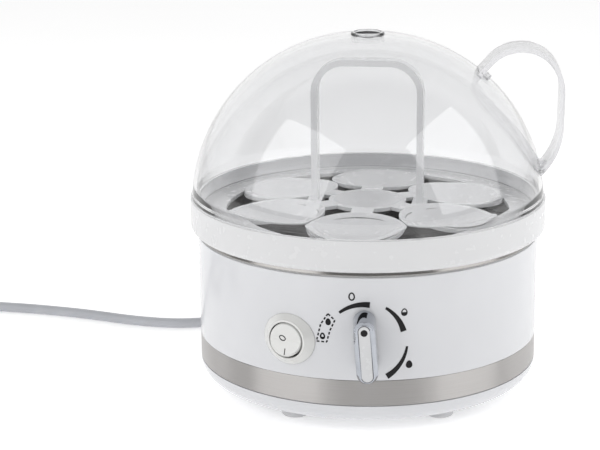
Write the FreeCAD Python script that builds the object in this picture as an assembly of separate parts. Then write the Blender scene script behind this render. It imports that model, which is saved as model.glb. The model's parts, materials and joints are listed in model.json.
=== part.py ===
"""Seven-egg steam cooker: clear lid, white egg tray, steel heating bowl on a round base.

Millimetres, +Z up. The origin is on the body's axis at table level, and the front of
the cooker, with the hardness knob, looks along -Y. Each function makes one piece, and
main() writes each piece to parts/NAME.step.
"""

import FreeCAD, Part
import math
import os
from FreeCAD import Vector

# --- Driving dimensions -------------------------------------------------------------

# Levels of the stack, measured from the table.
FOOT_HEIGHT = 5.0
BASE_TOP = 14.5
BAND_BOTTOM = 14.9
BAND_TOP = 27.6
HOUSING_TOP = 79.0
BOWL_RIM_TOP = 81.8
COLLAR_TOP = 98.0
DOME_TOP = 180.0

# Radii of the stack.
BASE_FLAT_R = 76.6
BAND_R = 86.0
HOUSING_R = 86.4
HOUSING_FOOT_R = 86.05
HOUSING_WALL = 2.4
COLLAR_R = 90.0
COLLAR_WALL = 1.6
DOME_R = 89.0
DOME_WALL = 2.0

# Egg tray.
TRAY_CENTRE_TOP = 95.0
TRAY_EDGE_TOP = 88.6
TRAY_SHEET = 1.8
TRAY_SKIRT_BOTTOM = 77.0
CUP_RING_R = 50.0
OUTER_CUP_R = 22.5
CENTRE_CUP_R = 17.5
OUTER_CUP_DEPTH = 8.5
CENTRE_CUP_DEPTH = 7.0
CUP_COUNT = 6
TRAY_TURN = -6.6

# Carrying bow of the tray.
BOW_HALF_SPAN = 26.7
BOW_TOP = 166.8
BOW_THICK = 3.2
BOW_WIDTH = 8.5
BOW_CORNER_R = 17.0

# Lid handle, a strip bent into an ear.
EAR_THICK = 2.4
EAR_WIDTH = 21.0
LID_TURN = -2.0

# Steam vent in the lid.
VENT_HOLE_R = 6.5
VENT_OUT_R = 8.3
VENT_TOP = 180.8
VENT_BOTTOM = 175.4

# Heating bowl.
BOWL_R = 83.8
BOWL_SHEET = 1.0
BOWL_FLOOR = 63.0
BOWL_CORNER_R = 10.0
RIM_BOTTOM = 79.6
RIM_FOOT_R = 86.5
RIM_TOP_R = 85.9

# Control knob on the front wall.
KNOB_AZIMUTH = 269.5
KNOB_HEIGHT = 47.8
KNOB_LENGTH = 31.1
KNOB_BASE_WIDTH = 11.0
KNOB_FRONT_WIDTH = 9.6
KNOB_START = 0.9
KNOB_REACH = 19.5
KNOB_TILT = -4.2
INSERT_LENGTH = 27.2
INSERT_WIDTH = 5.2
SHAFT_R = 3.0
SHAFT_CLEARANCE = 0.05

# Rocker switch on the front wall, left of the knob.
SWITCH_AZIMUTH = 244.0
SWITCH_HEIGHT = 46.0
SWITCH_FLANGE_R = 14.1
SWITCH_FACE_R = 10.0
SWITCH_HOLE_R = 9.0
SWITCH_PROUD = 2.8
ROCKER_R = 8.3
ROCKER_BALL_R = 8.8
ROCKER_REST_TILT = 8.0

# Underside: cord store, feet and screws.
SHEET = 2.2
HUB_R = 30.0
STORE_R = 56.0
STORE_ROOF = 13.0
FOOT_R = 7.0
FOOT_RING_R = 67.0
FOOT_AZIMUTHS = (58.0, 122.0, 238.0, 302.0)
COLUMN_RING_R = 66.0
COLUMN_R = 4.0
COLUMN_AZIMUTHS = (45.0, 135.0, 225.0, 315.0)
SCREW_R = 1.4
SCREW_HEAD_R = 2.8

# Mains lead.
CORD_D = 5.4
GLAND_AZIMUTH = 108.0
GLAND_HEIGHT = 8.2
GLAND_END_R = 54.0
CORD_Z = CORD_D / 2
COIL_CENTRE = Vector(-253.0, 73.3, 0.0)
COIL_IN_R = 26.9
COIL_OUT_R = 38.0
COIL_HEIGHT = 5.5
COIL_ROUNDING = 1.8
PLUG_START = Vector(-285.8, 34.5, 6.9)
PLUG_HEADING = -84.0

# The lead's route from the gland to its coil, then from the coil to the plug.
CORD_ROUTE = (
    (-16.7, 51.4, 8.2),
    (-23.5, 72.3, 5.2),
    (-39.0, 88.5, 2.75),
    (-61.0, 92.2, CORD_Z),
    (-81.5, 80.8, CORD_Z),
    (-104.0, 74.8, CORD_Z),
    (-130.0, 79.9, CORD_Z),
    (-159.0, 92.3, CORD_Z),
    (-186.0, 100.4, CORD_Z),
    (-211.0, 105.7, CORD_Z),
    (-231.0, 108.3, CORD_Z),
    (-246.0, 109.2, CORD_Z),
    (-254.5, 108.8, CORD_Z),
)
CORD_END_ROUTE = (
    (-237.5, 102.4, 8.1),
    (-251.8, 106.3, 8.1),
    (-266.4, 103.4, 7.7),
    (-278.4, 94.9, 7.6),
    (-285.6, 82.6, 7.8),
    (-287.9, 68.5, 8.1),
    (-287.6, 54.5, 7.8),
    (-286.8, 44.5, 7.3),
    (-285.8, 34.5, 6.9),
)

X = Vector(1, 0, 0)
Y = Vector(0, 1, 0)
Z = Vector(0, 0, 1)
ORIGIN = Vector(0, 0, 0)


# --- Helpers ------------------------------------------------------------------------


def rounding(before, corner, after, radius):
    """Start, middle and end of the arc that rounds one corner of a path."""
    back = (before - corner).normalize()
    ahead = (after - corner).normalize()
    half = back.getAngle(ahead) / 2
    reach = radius / math.tan(half)
    inward = (back + ahead).normalize()
    middle = corner + inward * (radius / math.sin(half) - radius)
    return corner + back * reach, middle, corner + ahead * reach


def path_edges(points, radii, closed):
    """Straight edges through the points, with an arc at each corner that has a radius."""
    count = len(points)
    stops = []
    for index, corner in enumerate(points):
        inner = closed or 0 < index < count - 1
        if inner and radii[index] > 0:
            before = points[index - 1]
            after = points[(index + 1) % count]
            stops.append(rounding(before, corner, after, radii[index]))
        else:
            stops.append((corner, None, corner))
    edges = []
    for index in range(count if closed else count - 1):
        start = stops[index][2]
        following = stops[(index + 1) % count]
        if start.distanceToPoint(following[0]) > 1e-6:
            edges.append(Part.makeLine(start, following[0]))
        if following[1] is not None:
            edges.append(Part.Arc(*following).toShape())
    return edges


def outline(corners):
    """Closed wire in the XZ plane from (r, z) or (r, z, corner radius) corners."""
    points = [Vector(corner[0], 0, corner[1]) for corner in corners]
    radii = [corner[2] if len(corner) > 2 else 0 for corner in corners]
    return Part.Wire(path_edges(points, radii, True))


def turned(corners):
    """Solid of revolution about Z from an outline in the XZ plane."""
    return Part.Face(outline(corners)).revolve(ORIGIN, Z, 360)


def bent_strip(corners, thickness, width):
    """Strip of even thickness along an XZ path, centred on y = 0."""
    points = [Vector(corner[0], 0, corner[1]) for corner in corners]
    radii = [corner[2] if len(corner) > 2 else 0 for corner in corners]
    path = Part.Wire(path_edges(points, radii, False))
    face = path.makeOffset2D(thickness, 0, True, True)
    strip = face.extrude(Y * width)
    strip.translate(Y * (-width / 2))
    return strip


def cylinder(radius, bottom, top, x=0.0, y=0.0):
    """Upright cylinder between two levels."""
    return Part.makeCylinder(radius, top - bottom, Vector(x, y, bottom))


def block(low, high):
    """Box between two opposite corners."""
    size = Vector(*high) - Vector(*low)
    return Part.makeBox(size.x, size.y, size.z, Vector(*low))


def rod(radius, start, end):
    """Cylinder along X between two distances, centred on the X axis."""
    return Part.makeCylinder(radius, end - start, Vector(start, 0, 0), X)


def stadium(at, length, width):
    """Upright rounded bar outline in the plane x = at."""
    half = length / 2 - width / 2
    side = width / 2
    right = Vector(at, side, 0)
    left = Vector(at, -side, 0)
    edges = [
        Part.makeLine(right - Z * half, right + Z * half),
        Part.Arc(right + Z * half, Vector(at, 0, half + side), left + Z * half).toShape(),
        Part.makeLine(left + Z * half, left - Z * half),
        Part.Arc(left - Z * half, Vector(at, 0, -half - side), right - Z * half).toShape(),
    ]
    return Part.Wire(edges)


def bar(start, end, length, width):
    """Straight stadium-shaped bar along X."""
    return Part.Face(stadium(start, length, width)).extrude(X * (end - start))


def spun(shape, degrees):
    """Copy turned about the Z axis."""
    copy = shape.copy()
    copy.rotate(ORIGIN, Z, degrees)
    return copy


def on_wall(shape, azimuth, height, radius=HOUSING_R):
    """Copy placed on the wall: local +X points outward and x = 0 is the given radius."""
    copy = shape.copy()
    copy.translate(Vector(radius, 0, height))
    copy.rotate(ORIGIN, Z, azimuth)
    return copy


def polar(radius, azimuth, height=0.0):
    """Point from radius, azimuth and height."""
    angle = math.radians(azimuth)
    return Vector(radius * math.cos(angle), radius * math.sin(angle), height)


def joined(shapes):
    """One solid from several that overlap or touch."""
    whole = shapes[0]
    for shape in shapes[1:]:
        whole = whole.fuse(shape)
    return whole.removeSplitter()


def screw(x, y, head_bottom, head_height, tip, points_up):
    """Pan-head screw on a vertical axis."""
    head = cylinder(SCREW_HEAD_R, head_bottom, head_bottom + head_height, x, y)
    if points_up:
        shank = cylinder(SCREW_R, head_bottom + head_height, tip, x, y)
    else:
        shank = cylinder(SCREW_R, tip, head_bottom, x, y)
    slot_level = head_bottom if points_up else head_bottom + head_height
    slot = block((x - 2.0, y - 0.4, slot_level - 0.6), (x + 2.0, y + 0.4, slot_level + 0.6))
    return head.fuse(shank).removeSplitter().cut(slot)


def tube_along(points, radii, radius):
    """Round solid along straight runs joined by tangent arcs."""
    pieces = []
    length = 0.0
    for edge in path_edges(points, radii, False):
        start = edge.valueAt(edge.FirstParameter)
        direction = edge.tangentAt(edge.FirstParameter)
        length += edge.Length
        if isinstance(edge.Curve, Part.Line):
            pieces.append(Part.makeCylinder(radius, edge.Length, start, direction))
        else:
            ring = Part.makeCircle(radius, start, direction)
            disc = Part.Face(Part.Wire([ring]))
            turn = math.degrees(edge.Length / edge.Curve.Radius)
            pieces.append(disc.revolve(edge.Curve.Center, edge.Curve.Axis, turn))
    solid = joined(pieces)
    print(f"  length {length:.1f}, volume {solid.Volume:.0f} of {math.pi * radius**2 * length:.0f}")
    return solid


def easy_radii(points):
    """Largest tidy arc at each inner point: 0.45 of the shorter run over tan(half turn)."""
    radii = [0.0]
    for index in range(1, len(points) - 1):
        back = points[index] - points[index - 1]
        ahead = points[index + 1] - points[index]
        turn = back.getAngle(ahead)
        radii.append(0.45 * min(back.Length, ahead.Length) / math.tan(turn / 2))
    radii.append(0.0)
    print("  bend radii", [round(radius, 1) for radius in radii[1:-1]])
    return radii


# --- Lid ----------------------------------------------------------------------------

DOME_HEIGHT_POWER = 1.83
DOME_RADIUS_POWER = 2.11
SPIGOT_R = 87.4
SPIGOT_BOTTOM = 91.0
DOME_STATIONS = 9
PEG_R = 3.0
PEG_HEAD = 1.2
HEAD_CLEARANCE = 0.2
PEG_OUTER_END = 1.6
PEG_SPARE = 2.5
PLAY = 0.05

# Where the ear's two pegs go through the lid: (distance from the axis, height).
UPPER_ROOT = (58.5, 159.2)
LOWER_ROOT = (87.0, 113.5)


def dome_radius(share, radius):
    """Radius of the dome at a share, 0 to 1, of its height above the collar."""
    return radius * (1 - share**DOME_HEIGHT_POWER) ** (1 / DOME_RADIUS_POWER)


def dome_curve(radius, top):
    """Dome side from the collar up to the axis, as one smooth edge in the XZ plane."""
    height = top - COLLAR_TOP
    points = []
    for station in range(DOME_STATIONS):
        share = math.sin(math.pi / 2 * station / (DOME_STATIONS - 1))
        points.append(Vector(dome_radius(share, radius), 0, COLLAR_TOP + share * height))
    curve = Part.BSplineCurve()
    curve.interpolate(Points=points, InitialTangent=Z, FinalTangent=-X)
    return curve.toShape()


def dome_solid(radius, top):
    """Filled dome standing on the collar level."""
    curve = dome_curve(radius, top)
    foot = Part.makeLine(Vector(0, 0, COLLAR_TOP), Vector(radius, 0, COLLAR_TOP))
    axis = Part.makeLine(Vector(0, 0, top), Vector(0, 0, COLLAR_TOP))
    return Part.Face(Part.Wire([foot, curve, axis])).revolve(ORIGIN, Z, 360)


def ear_strip():
    """Strip of the lid handle before its ends are fitted to the dome."""
    corners = (
        (51.0, 157.0),
        (66.5, 174.9, 22.0),
        (89.5, 174.5, 20.0),
        (98.0, 157.5, 24.0),
        (97.5, 122.2, 36.0),
        (84.5, 106.8),
    )
    return bent_strip(corners, -EAR_THICK, EAR_WIDTH)


def root_peg(root, start, end, radius):
    """Peg across the dome wall at a root of the ear, on the wall's slope."""
    distance, height = root
    share = (height - COLLAR_TOP) / (DOME_TOP - COLLAR_TOP)
    step = 0.01
    rise = 2 * step * (DOME_TOP - COLLAR_TOP)
    run = dome_radius(share + step, DOME_R) - dome_radius(share - step, DOME_R)
    outward = Vector(rise, 0, -run).normalize()
    surface = Vector(dome_radius(share, DOME_R), 0, height)
    return Part.makeCylinder(radius, end - start, surface + outward * start, outward)


def lid_dome():
    shell = dome_solid(DOME_R, DOME_TOP).cut(dome_solid(DOME_R - DOME_WALL, DOME_TOP - DOME_WALL))
    spigot = turned((
        (SPIGOT_R - DOME_WALL, SPIGOT_BOTTOM),
        (SPIGOT_R - 0.7, SPIGOT_BOTTOM),
        (SPIGOT_R, SPIGOT_BOTTOM + 1.2),
        (SPIGOT_R, COLLAR_TOP),
        (DOME_R - 0.2, COLLAR_TOP),
        (DOME_R - 0.2, COLLAR_TOP + 1.2),
        (DOME_R - DOME_WALL + 0.4, COLLAR_TOP + 2.6),
        (SPIGOT_R - DOME_WALL, COLLAR_TOP),
    ))
    hole = cylinder(VENT_OUT_R + PLAY, VENT_BOTTOM - 1, VENT_TOP + 1)
    dome = joined([shell.cut(hole), spigot])
    for root in (UPPER_ROOT, LOWER_ROOT):
        dome = dome.cut(root_peg(root, -DOME_WALL - PEG_SPARE, PEG_SPARE, PEG_R + PLAY))
    return spun(dome, LID_TURN)


def vent_ring():
    """Sleeve that lines the steam vent."""
    return turned((
        (VENT_HOLE_R, VENT_BOTTOM),
        (VENT_OUT_R, VENT_BOTTOM),
        (VENT_OUT_R, VENT_TOP, 0.5),
        (VENT_HOLE_R, VENT_TOP, 0.5),
    ))


def lid_handle():
    strip = ear_strip().cut(dome_solid(DOME_R + PLAY, DOME_TOP + PLAY))
    pieces = [strip]
    head_start = -DOME_WALL - HEAD_CLEARANCE
    for root in (UPPER_ROOT, LOWER_ROOT):
        pieces.append(root_peg(root, head_start - PEG_HEAD, PEG_OUTER_END, PEG_R))
        pieces.append(root_peg(root, head_start - PEG_HEAD, head_start, PEG_R + 1.0))
    return spun(joined(pieces), LID_TURN)


# --- Egg tray -----------------------------------------------------------------------

RING_EDGE_R = 72.0
WEB_CLEAR_R = 24.7
CENTRE_WEB_R = 19.7
SPOKE_WIDTH = 11.0
PAD_LENGTH = 30.0
PAD_WIDTH = 7.5
PAD_THICK = 3.2
PEG_LENGTH = 6.0
PEG_THICK = 2.2
PEG_DEPTH = 4.0


def tray_top(radius):
    """Level of the tray's crowned top at a distance from the axis."""
    return TRAY_CENTRE_TOP - (TRAY_CENTRE_TOP - TRAY_EDGE_TOP) * (radius / COLLAR_R) ** 2


def crown(drop):
    """Face under the crowned top, lowered by drop, as an arc in the XZ plane."""
    points = [Vector(r, 0, tray_top(r) - drop) for r in (0, COLLAR_R / 2, COLLAR_R - 1.0)]
    return Part.Arc(*points)


def tray_sheet():
    """Crowned sheet that carries the cups."""
    upper = crown(0).toShape()
    lower = crown(TRAY_SHEET).toShape()
    edge = Part.makeLine(upper.Vertexes[1].Point, lower.Vertexes[1].Point)
    axis = Part.makeLine(lower.Vertexes[0].Point, upper.Vertexes[0].Point)
    face = Part.Face(Part.Wire(Part.__sortEdges__([upper, edge, lower, axis])))
    return face.revolve(ORIGIN, Z, 360)


def cup_places():
    """Centre and size of each cup: (x, y, rim radius, depth)."""
    places = [(0.0, 0.0, CENTRE_CUP_R, CENTRE_CUP_DEPTH)]
    for index in range(CUP_COUNT):
        spot = polar(CUP_RING_R, 30 + 60 * index)
        places.append((spot.x, spot.y, OUTER_CUP_R, OUTER_CUP_DEPTH))
    return places


def cup_ball(x, y, rim_r, depth, extra):
    """Sphere whose lowest part is the inside of a cup, made larger by extra."""
    ball_r = (rim_r**2 + depth**2) / (2 * depth)
    rim_level = tray_top(math.hypot(x, y))
    return Part.makeSphere(ball_r + extra, Vector(x, y, rim_level - depth + ball_r))


def tray_windows():
    """Steam openings between the cups, as one tool that cuts through the sheet."""
    tool = cylinder(RING_EDGE_R, TRAY_SKIRT_BOTTOM, COLLAR_TOP)
    for x, y, rim_r, _ in cup_places():
        clear_r = CENTRE_WEB_R if rim_r == CENTRE_CUP_R else WEB_CLEAR_R
        tool = tool.cut(cylinder(clear_r, TRAY_SKIRT_BOTTOM - 1, COLLAR_TOP + 1, x, y))
    side = SPOKE_WIDTH / 2
    spoke = block((0, -side, TRAY_SKIRT_BOTTOM), (CUP_RING_R, side, COLLAR_TOP))
    for index in range(CUP_COUNT):
        tool = tool.cut(spun(spoke, 30 + 60 * index))
    for hand in (-1, 1):
        tool = tool.cut(bow_pad(hand, TRAY_SKIRT_BOTTOM, COLLAR_TOP))
    return tool


def at_leg(hand, thick, length, bottom, top):
    """Upright block centred on one leg of the bow, on the right when hand is 1."""
    middle = hand * BOW_HALF_SPAN
    low = (middle - thick / 2, -length / 2, bottom)
    high = (middle + thick / 2, length / 2, top)
    return block(low, high)


def bow_pad(hand, bottom, top):
    """Bridge across a window that one leg of the bow stands on."""
    return at_leg(hand, PAD_WIDTH, PAD_LENGTH, bottom, top)


def bow_peg(hand, bottom, top):
    """Peg at the end of one leg of the bow."""
    return at_leg(hand, PEG_THICK, PEG_LENGTH, bottom, top)


def egg_tray():
    collar = turned((
        (84.6, BOWL_RIM_TOP),
        (COLLAR_R, BOWL_RIM_TOP, 2.8),
        (COLLAR_R, COLLAR_TOP, 0.6),
        (COLLAR_R - COLLAR_WALL, COLLAR_TOP, 0.4),
        (COLLAR_R - COLLAR_WALL, TRAY_EDGE_TOP - 1.2),
        (84.6, TRAY_EDGE_TOP - 1.2),
    ))
    skirt = turned((
        (80.4, TRAY_SKIRT_BOTTOM),
        (82.0, TRAY_SKIRT_BOTTOM, 0.6),
        (82.0, TRAY_EDGE_TOP - 0.6),
        (80.4, TRAY_EDGE_TOP - 0.6),
    ))
    tray = tray_sheet().cut(tray_windows())
    solids = [tray, collar, skirt]
    for x, y, rim_r, depth in cup_places():
        level = tray_top(math.hypot(x, y)) - TRAY_SHEET / 2
        below = cylinder(rim_r + TRAY_SHEET, level - depth - 3, level, x, y)
        solids.append(cup_ball(x, y, rim_r, depth, TRAY_SHEET).common(below))
    pad_top = tray_top(BOW_HALF_SPAN)
    for hand in (-1, 1):
        solids.append(bow_pad(hand, pad_top - PAD_THICK, pad_top))
    tray = joined(solids)
    for place in cup_places():
        tray = tray.cut(cup_ball(*place, 0.0))
    for hand in (-1, 1):
        tray = tray.cut(bow_peg(hand, TRAY_SKIRT_BOTTOM, COLLAR_TOP))
        tray = tray.cut(at_leg(hand, BOW_THICK, BOW_WIDTH, pad_top, COLLAR_TOP))
    return spun(tray, TRAY_TURN)


def tray_handle():
    foot = tray_top(BOW_HALF_SPAN)
    outer = BOW_HALF_SPAN + BOW_THICK / 2
    corners = (
        (-outer, foot),
        (-outer, BOW_TOP, BOW_CORNER_R),
        (outer, BOW_TOP, BOW_CORNER_R),
        (outer, foot),
    )
    bow = bent_strip(corners, -BOW_THICK, BOW_WIDTH)
    pegs = [bow_peg(hand, foot - PEG_DEPTH, foot) for hand in (-1, 1)]
    return spun(joined([bow] + pegs), TRAY_TURN)


# --- Heating bowl and heater --------------------------------------------------------

SPREADER_R = 56.0
SPREADER_THICK = 2.0
ELEMENT_RING_R = 42.0
ELEMENT_R = 3.5
ELEMENT_GAP = 24.0
PIN_END = 41.0
BRACKET_THICK = 1.5
BRACKET_FOOT = 52.0
BOWL_UNDER = BOWL_FLOOR - BOWL_SHEET


def heating_bowl():
    inner_r = BOWL_R - BOWL_SHEET
    return turned((
        (0, BOWL_UNDER),
        (BOWL_R, BOWL_UNDER, BOWL_CORNER_R),
        (BOWL_R, RIM_BOTTOM),
        (RIM_FOOT_R, RIM_BOTTOM, 0.4),
        (RIM_TOP_R, BOWL_RIM_TOP, 0.4),
        (inner_r, BOWL_RIM_TOP, 0.8),
        (inner_r, BOWL_FLOOR, BOWL_CORNER_R - BOWL_SHEET),
        (0, BOWL_FLOOR),
    ))


def bowl_gasket():
    return turned(((84.2, HOUSING_TOP), (85.7, HOUSING_TOP), (85.7, RIM_BOTTOM), (84.2, RIM_BOTTOM)))


def heat_spreader():
    return cylinder(SPREADER_R, BOWL_UNDER - SPREADER_THICK, BOWL_UNDER)


def heating_element():
    """Sheathed ring under the spreader, open at the rear where its cold ends turn down."""
    centre_z = BOWL_UNDER - SPREADER_THICK - ELEMENT_R
    circle = Part.makeCircle(ELEMENT_R, Vector(ELEMENT_RING_R, 0, centre_z), Y)
    section = Part.Face(Part.Wire([circle]))
    ring = section.revolve(ORIGIN, Z, 360 - ELEMENT_GAP)
    return spun(ring, 90 + ELEMENT_GAP / 2)


def heater_terminals():
    """Threaded cold pins that hang from the ends of the element."""
    pins = []
    for side in (-1, 1):
        spot = polar(ELEMENT_RING_R, 90 + side * (ELEMENT_GAP / 2 + 3))
        top = BOWL_UNDER - SPREADER_THICK - 2 * ELEMENT_R + 0.2
        pin = cylinder(1.5, PIN_END, top, spot.x, spot.y)
        nut = cylinder(3.0, PIN_END + 4, PIN_END + 6, spot.x, spot.y)
        pins.append(pin.fuse(nut).removeSplitter())
    return Part.makeCompound([pin.cut(heating_element()) for pin in pins])


def thermostat():
    under = BOWL_UNDER - SPREADER_THICK
    can = cylinder(8.0, under - 6, under)
    cap = cylinder(6.5, under - 9, under - 6)
    blades = [block((x - 1.5, -0.4, under - 15), (x + 1.5, 0.4, under - 9)) for x in (-4, 4)]
    return joined([can, cap] + blades)


def thermal_fuse():
    under = BOWL_UNDER - SPREADER_THICK
    body = Part.makeCylinder(2.0, 11, Vector(20, -5.5, under - 2), Y)
    leads = Part.makeCylinder(0.5, 31, Vector(20, -15.5, under - 2), Y)
    return body.fuse(leads).removeSplitter()


def bowl_brackets():
    """Four stepped straps that hold the bowl down on the housing's columns."""
    strap = bent_strip(
        (
            (57.0, BOWL_UNDER),
            (62.0 + BRACKET_THICK, BOWL_UNDER, 2.2),
            (62.0 + BRACKET_THICK, BRACKET_FOOT + BRACKET_THICK, 0.8),
            (70.5, BRACKET_FOOT + BRACKET_THICK),
        ),
        -BRACKET_THICK,
        9.0,
    )
    strap = strap.cut(cylinder(SCREW_R + 0.2, BRACKET_FOOT - 1, BRACKET_FOOT + 4, 67.0))
    return Part.makeCompound([spun(strap, azimuth) for azimuth in COLUMN_AZIMUTHS])


def bracket_screws():
    screws = []
    for azimuth in COLUMN_AZIMUTHS:
        one = screw(67.0, 0.0, BRACKET_FOOT + BRACKET_THICK, 1.8, BRACKET_FOOT - 10, False)
        screws.append(spun(one, azimuth))
    return Part.makeCompound(screws)


# --- Housing and base ---------------------------------------------------------------

BAND_BACK_R = 85.1
RIB_THICK = 2.0
SPIGOT_IN_R = 80.9
SPIGOT_OUT_R = 82.6
GROOVE_WIDTH = 12.0
GROOVE_ROOF = 11.0


def housing_shell():
    inner_r = HOUSING_R - HOUSING_WALL
    wall = turned((
        (82.9, BASE_TOP),
        (BAND_BACK_R, BASE_TOP),
        (BAND_BACK_R, BAND_TOP + 0.2),
        (HOUSING_FOOT_R, BAND_TOP + 0.2),
        (HOUSING_R, HOUSING_TOP, 0.5),
        (inner_r, HOUSING_TOP),
        (inner_r, 32.0),
        (82.9, 30.0),
    ))
    solids = [wall]
    for azimuth in COLUMN_AZIMUTHS:
        column = cylinder(COLUMN_R, FOOT_HEIGHT + SHEET, BRACKET_FOOT, COLUMN_RING_R)
        low = (COLUMN_RING_R, -RIB_THICK / 2, 20.0)
        rib = block(low, (inner_r + 0.5, RIB_THICK / 2, BRACKET_FOOT - 2))
        solids.append(spun(column.fuse(rib), azimuth))
    pad = rod(7.5, -3.4, -1.2)
    solids.append(on_wall(pad, KNOB_AZIMUTH, KNOB_HEIGHT))
    shell = joined(solids)
    for azimuth in COLUMN_AZIMUTHS:
        spot = polar(COLUMN_RING_R, azimuth)
        shell = shell.cut(cylinder(SCREW_R, 6.0, 21.0, spot.x, spot.y))
        upper = polar(67.0, azimuth)
        shell = shell.cut(cylinder(SCREW_R, BRACKET_FOOT - 11, BRACKET_FOOT + 1, upper.x, upper.y))
    shell = shell.cut(on_wall(rod(BUSHING_R + 0.1, -8, 4), KNOB_AZIMUTH, KNOB_HEIGHT))
    shell = shell.cut(on_wall(rod(BARREL_R + 0.2, -8, 4), SWITCH_AZIMUTH, SWITCH_HEIGHT))
    return shell


def decor_band():
    return turned((
        (BAND_BACK_R + 0.1, BAND_BOTTOM),
        (BAND_R, BAND_BOTTOM, 0.25),
        (BAND_R, BAND_TOP, 0.25),
        (BAND_BACK_R + 0.1, BAND_TOP),
    ))


def base_skin(offset):
    """Corners of the base's outer skin, or of its inner skin when offset is the sheet."""
    floor = FOOT_HEIGHT + offset
    roof = STORE_ROOF + offset
    return [
        (BAND_R - offset, BASE_TOP),
        (BAND_R - offset, floor, BAND_R - BASE_FLAT_R - offset),
        (STORE_R + offset, floor),
        (STORE_R + offset, roof),
        (HUB_R - offset, roof),
        (HUB_R - offset, floor),
        (0, floor),
    ]


def base_plate():
    """Dished underside with a ring-shaped store for the lead around a central hub."""
    outer = base_skin(0.0)
    shell = turned(outer + base_skin(SHEET)[::-1])
    spigot = turned((
        (SPIGOT_IN_R, FOOT_HEIGHT + SHEET + 1.4),
        (SPIGOT_OUT_R, FOOT_HEIGHT + SHEET + 1.4),
        (SPIGOT_OUT_R, 19.0),
        (SPIGOT_IN_R, 19.0),
    ))
    envelope = turned(outer + [(0, BASE_TOP)])
    side = GROOVE_WIDTH / 2 + SHEET
    tunnel = block((STORE_R, -side, 0), (BAND_R + 2, side, GROOVE_ROOF + SHEET))
    base = joined([shell, spigot, spun(tunnel, GLAND_AZIMUTH).common(envelope)])
    groove = block((STORE_R - 1, -GROOVE_WIDTH / 2, 0), (BAND_R + 4, GROOVE_WIDTH / 2, GROOVE_ROOF))
    base = base.cut(spun(groove, GLAND_AZIMUTH))
    for azimuth in COLUMN_AZIMUTHS:
        spot = polar(COLUMN_RING_R, azimuth)
        base = base.cut(cylinder(SCREW_R + 0.2, 4.0, 9.0, spot.x, spot.y))
    gland_hole = Part.makeCylinder(GLAND_NECK_R, 9, Vector(HUB_R - 6, 0, GLAND_HEIGHT), X)
    return base.cut(spun(gland_hole, GLAND_AZIMUTH))


def rubber_feet():
    feet = []
    for azimuth in FOOT_AZIMUTHS:
        foot = turned(((0, 0), (FOOT_R, 0, 1.0), (FOOT_R - 0.6, FOOT_HEIGHT), (0, FOOT_HEIGHT)))
        foot.translate(polar(FOOT_RING_R, azimuth))
        feet.append(foot)
    return Part.makeCompound(feet)


def base_screws():
    screws = []
    for azimuth in COLUMN_AZIMUTHS:
        spot = polar(COLUMN_RING_R, azimuth)
        screws.append(screw(spot.x, spot.y, FOOT_HEIGHT - 1.6, 1.6, 20.0, True))
    return Part.makeCompound(screws)


# --- Hardness knob and its rotary control -------------------------------------------

BUSHING_R = 3.5
CONTROL_R = 11.0
CONTROL_FRONT = -3.4
CONTROL_BACK = -12.4
BUSHING_END = 1.9
NUT_HALF = 3.75
KNOB_CAVITY_R = 4.7
KNOB_CAVITY_END = 3.2


def knob_parts_turn(shape):
    """Knob pieces stand a little off upright at rest."""
    tilted = shape.copy()
    tilted.rotate(ORIGIN, X, -KNOB_TILT)
    return on_wall(tilted, KNOB_AZIMUTH, KNOB_HEIGHT)


def knob_body():
    """Plated bar that narrows to the front, with a recess for the light insert."""
    back = stadium(KNOB_START, KNOB_LENGTH, KNOB_BASE_WIDTH)
    shoulder = stadium(KNOB_REACH - 2.2, KNOB_LENGTH - 0.4, KNOB_FRONT_WIDTH + 0.6)
    front = stadium(KNOB_REACH, KNOB_LENGTH - 2.6, KNOB_FRONT_WIDTH - 1.8)
    body = Part.makeLoft([back, shoulder], True, True)
    nose = Part.makeLoft([shoulder, front], True, True)
    knob = joined([body, nose])
    knob = knob.cut(rod(KNOB_CAVITY_R, KNOB_START - 1, KNOB_CAVITY_END))
    knob = knob.cut(rod(SHAFT_R, KNOB_CAVITY_END - 1, 14.0))
    knob = knob.cut(bar(KNOB_REACH - 1.2, KNOB_REACH + 1, INSERT_LENGTH, INSERT_WIDTH))
    return knob_parts_turn(knob)


def knob_insert():
    insert = bar(KNOB_REACH - 1.2, KNOB_REACH + 0.2, INSERT_LENGTH, INSERT_WIDTH)
    dot = rod(1.65, KNOB_REACH - 0.3, KNOB_REACH + 1)
    dot.translate(Z * (INSERT_LENGTH / 2 - INSERT_WIDTH / 2 - 0.5))
    return knob_parts_turn(insert.cut(dot))


def knob_pointer():
    dot = rod(1.65, KNOB_REACH - 0.3, KNOB_REACH + 0.2)
    dot.translate(Z * (INSERT_LENGTH / 2 - INSERT_WIDTH / 2 - 0.5))
    return knob_parts_turn(dot)


def control_shaft():
    return knob_parts_turn(rod(SHAFT_R, -9.0, 14.0))


def rotary_control():
    body = rod(CONTROL_R, CONTROL_BACK, CONTROL_FRONT)
    bushing = rod(BUSHING_R, CONTROL_FRONT, BUSHING_END)
    solids = [body, bushing]
    for y in (-5, 0, 5):
        low = (CONTROL_BACK + 3, y - 0.8, -CONTROL_R - 5)
        solids.append(block(low, (CONTROL_BACK + 3.5, y + 0.8, -CONTROL_R + 1)))
    control = joined(solids)
    control = control.cut(rod(SHAFT_R + SHAFT_CLEARANCE, -9.3, BUSHING_END + 1))
    return on_wall(control, KNOB_AZIMUTH, KNOB_HEIGHT)


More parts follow.
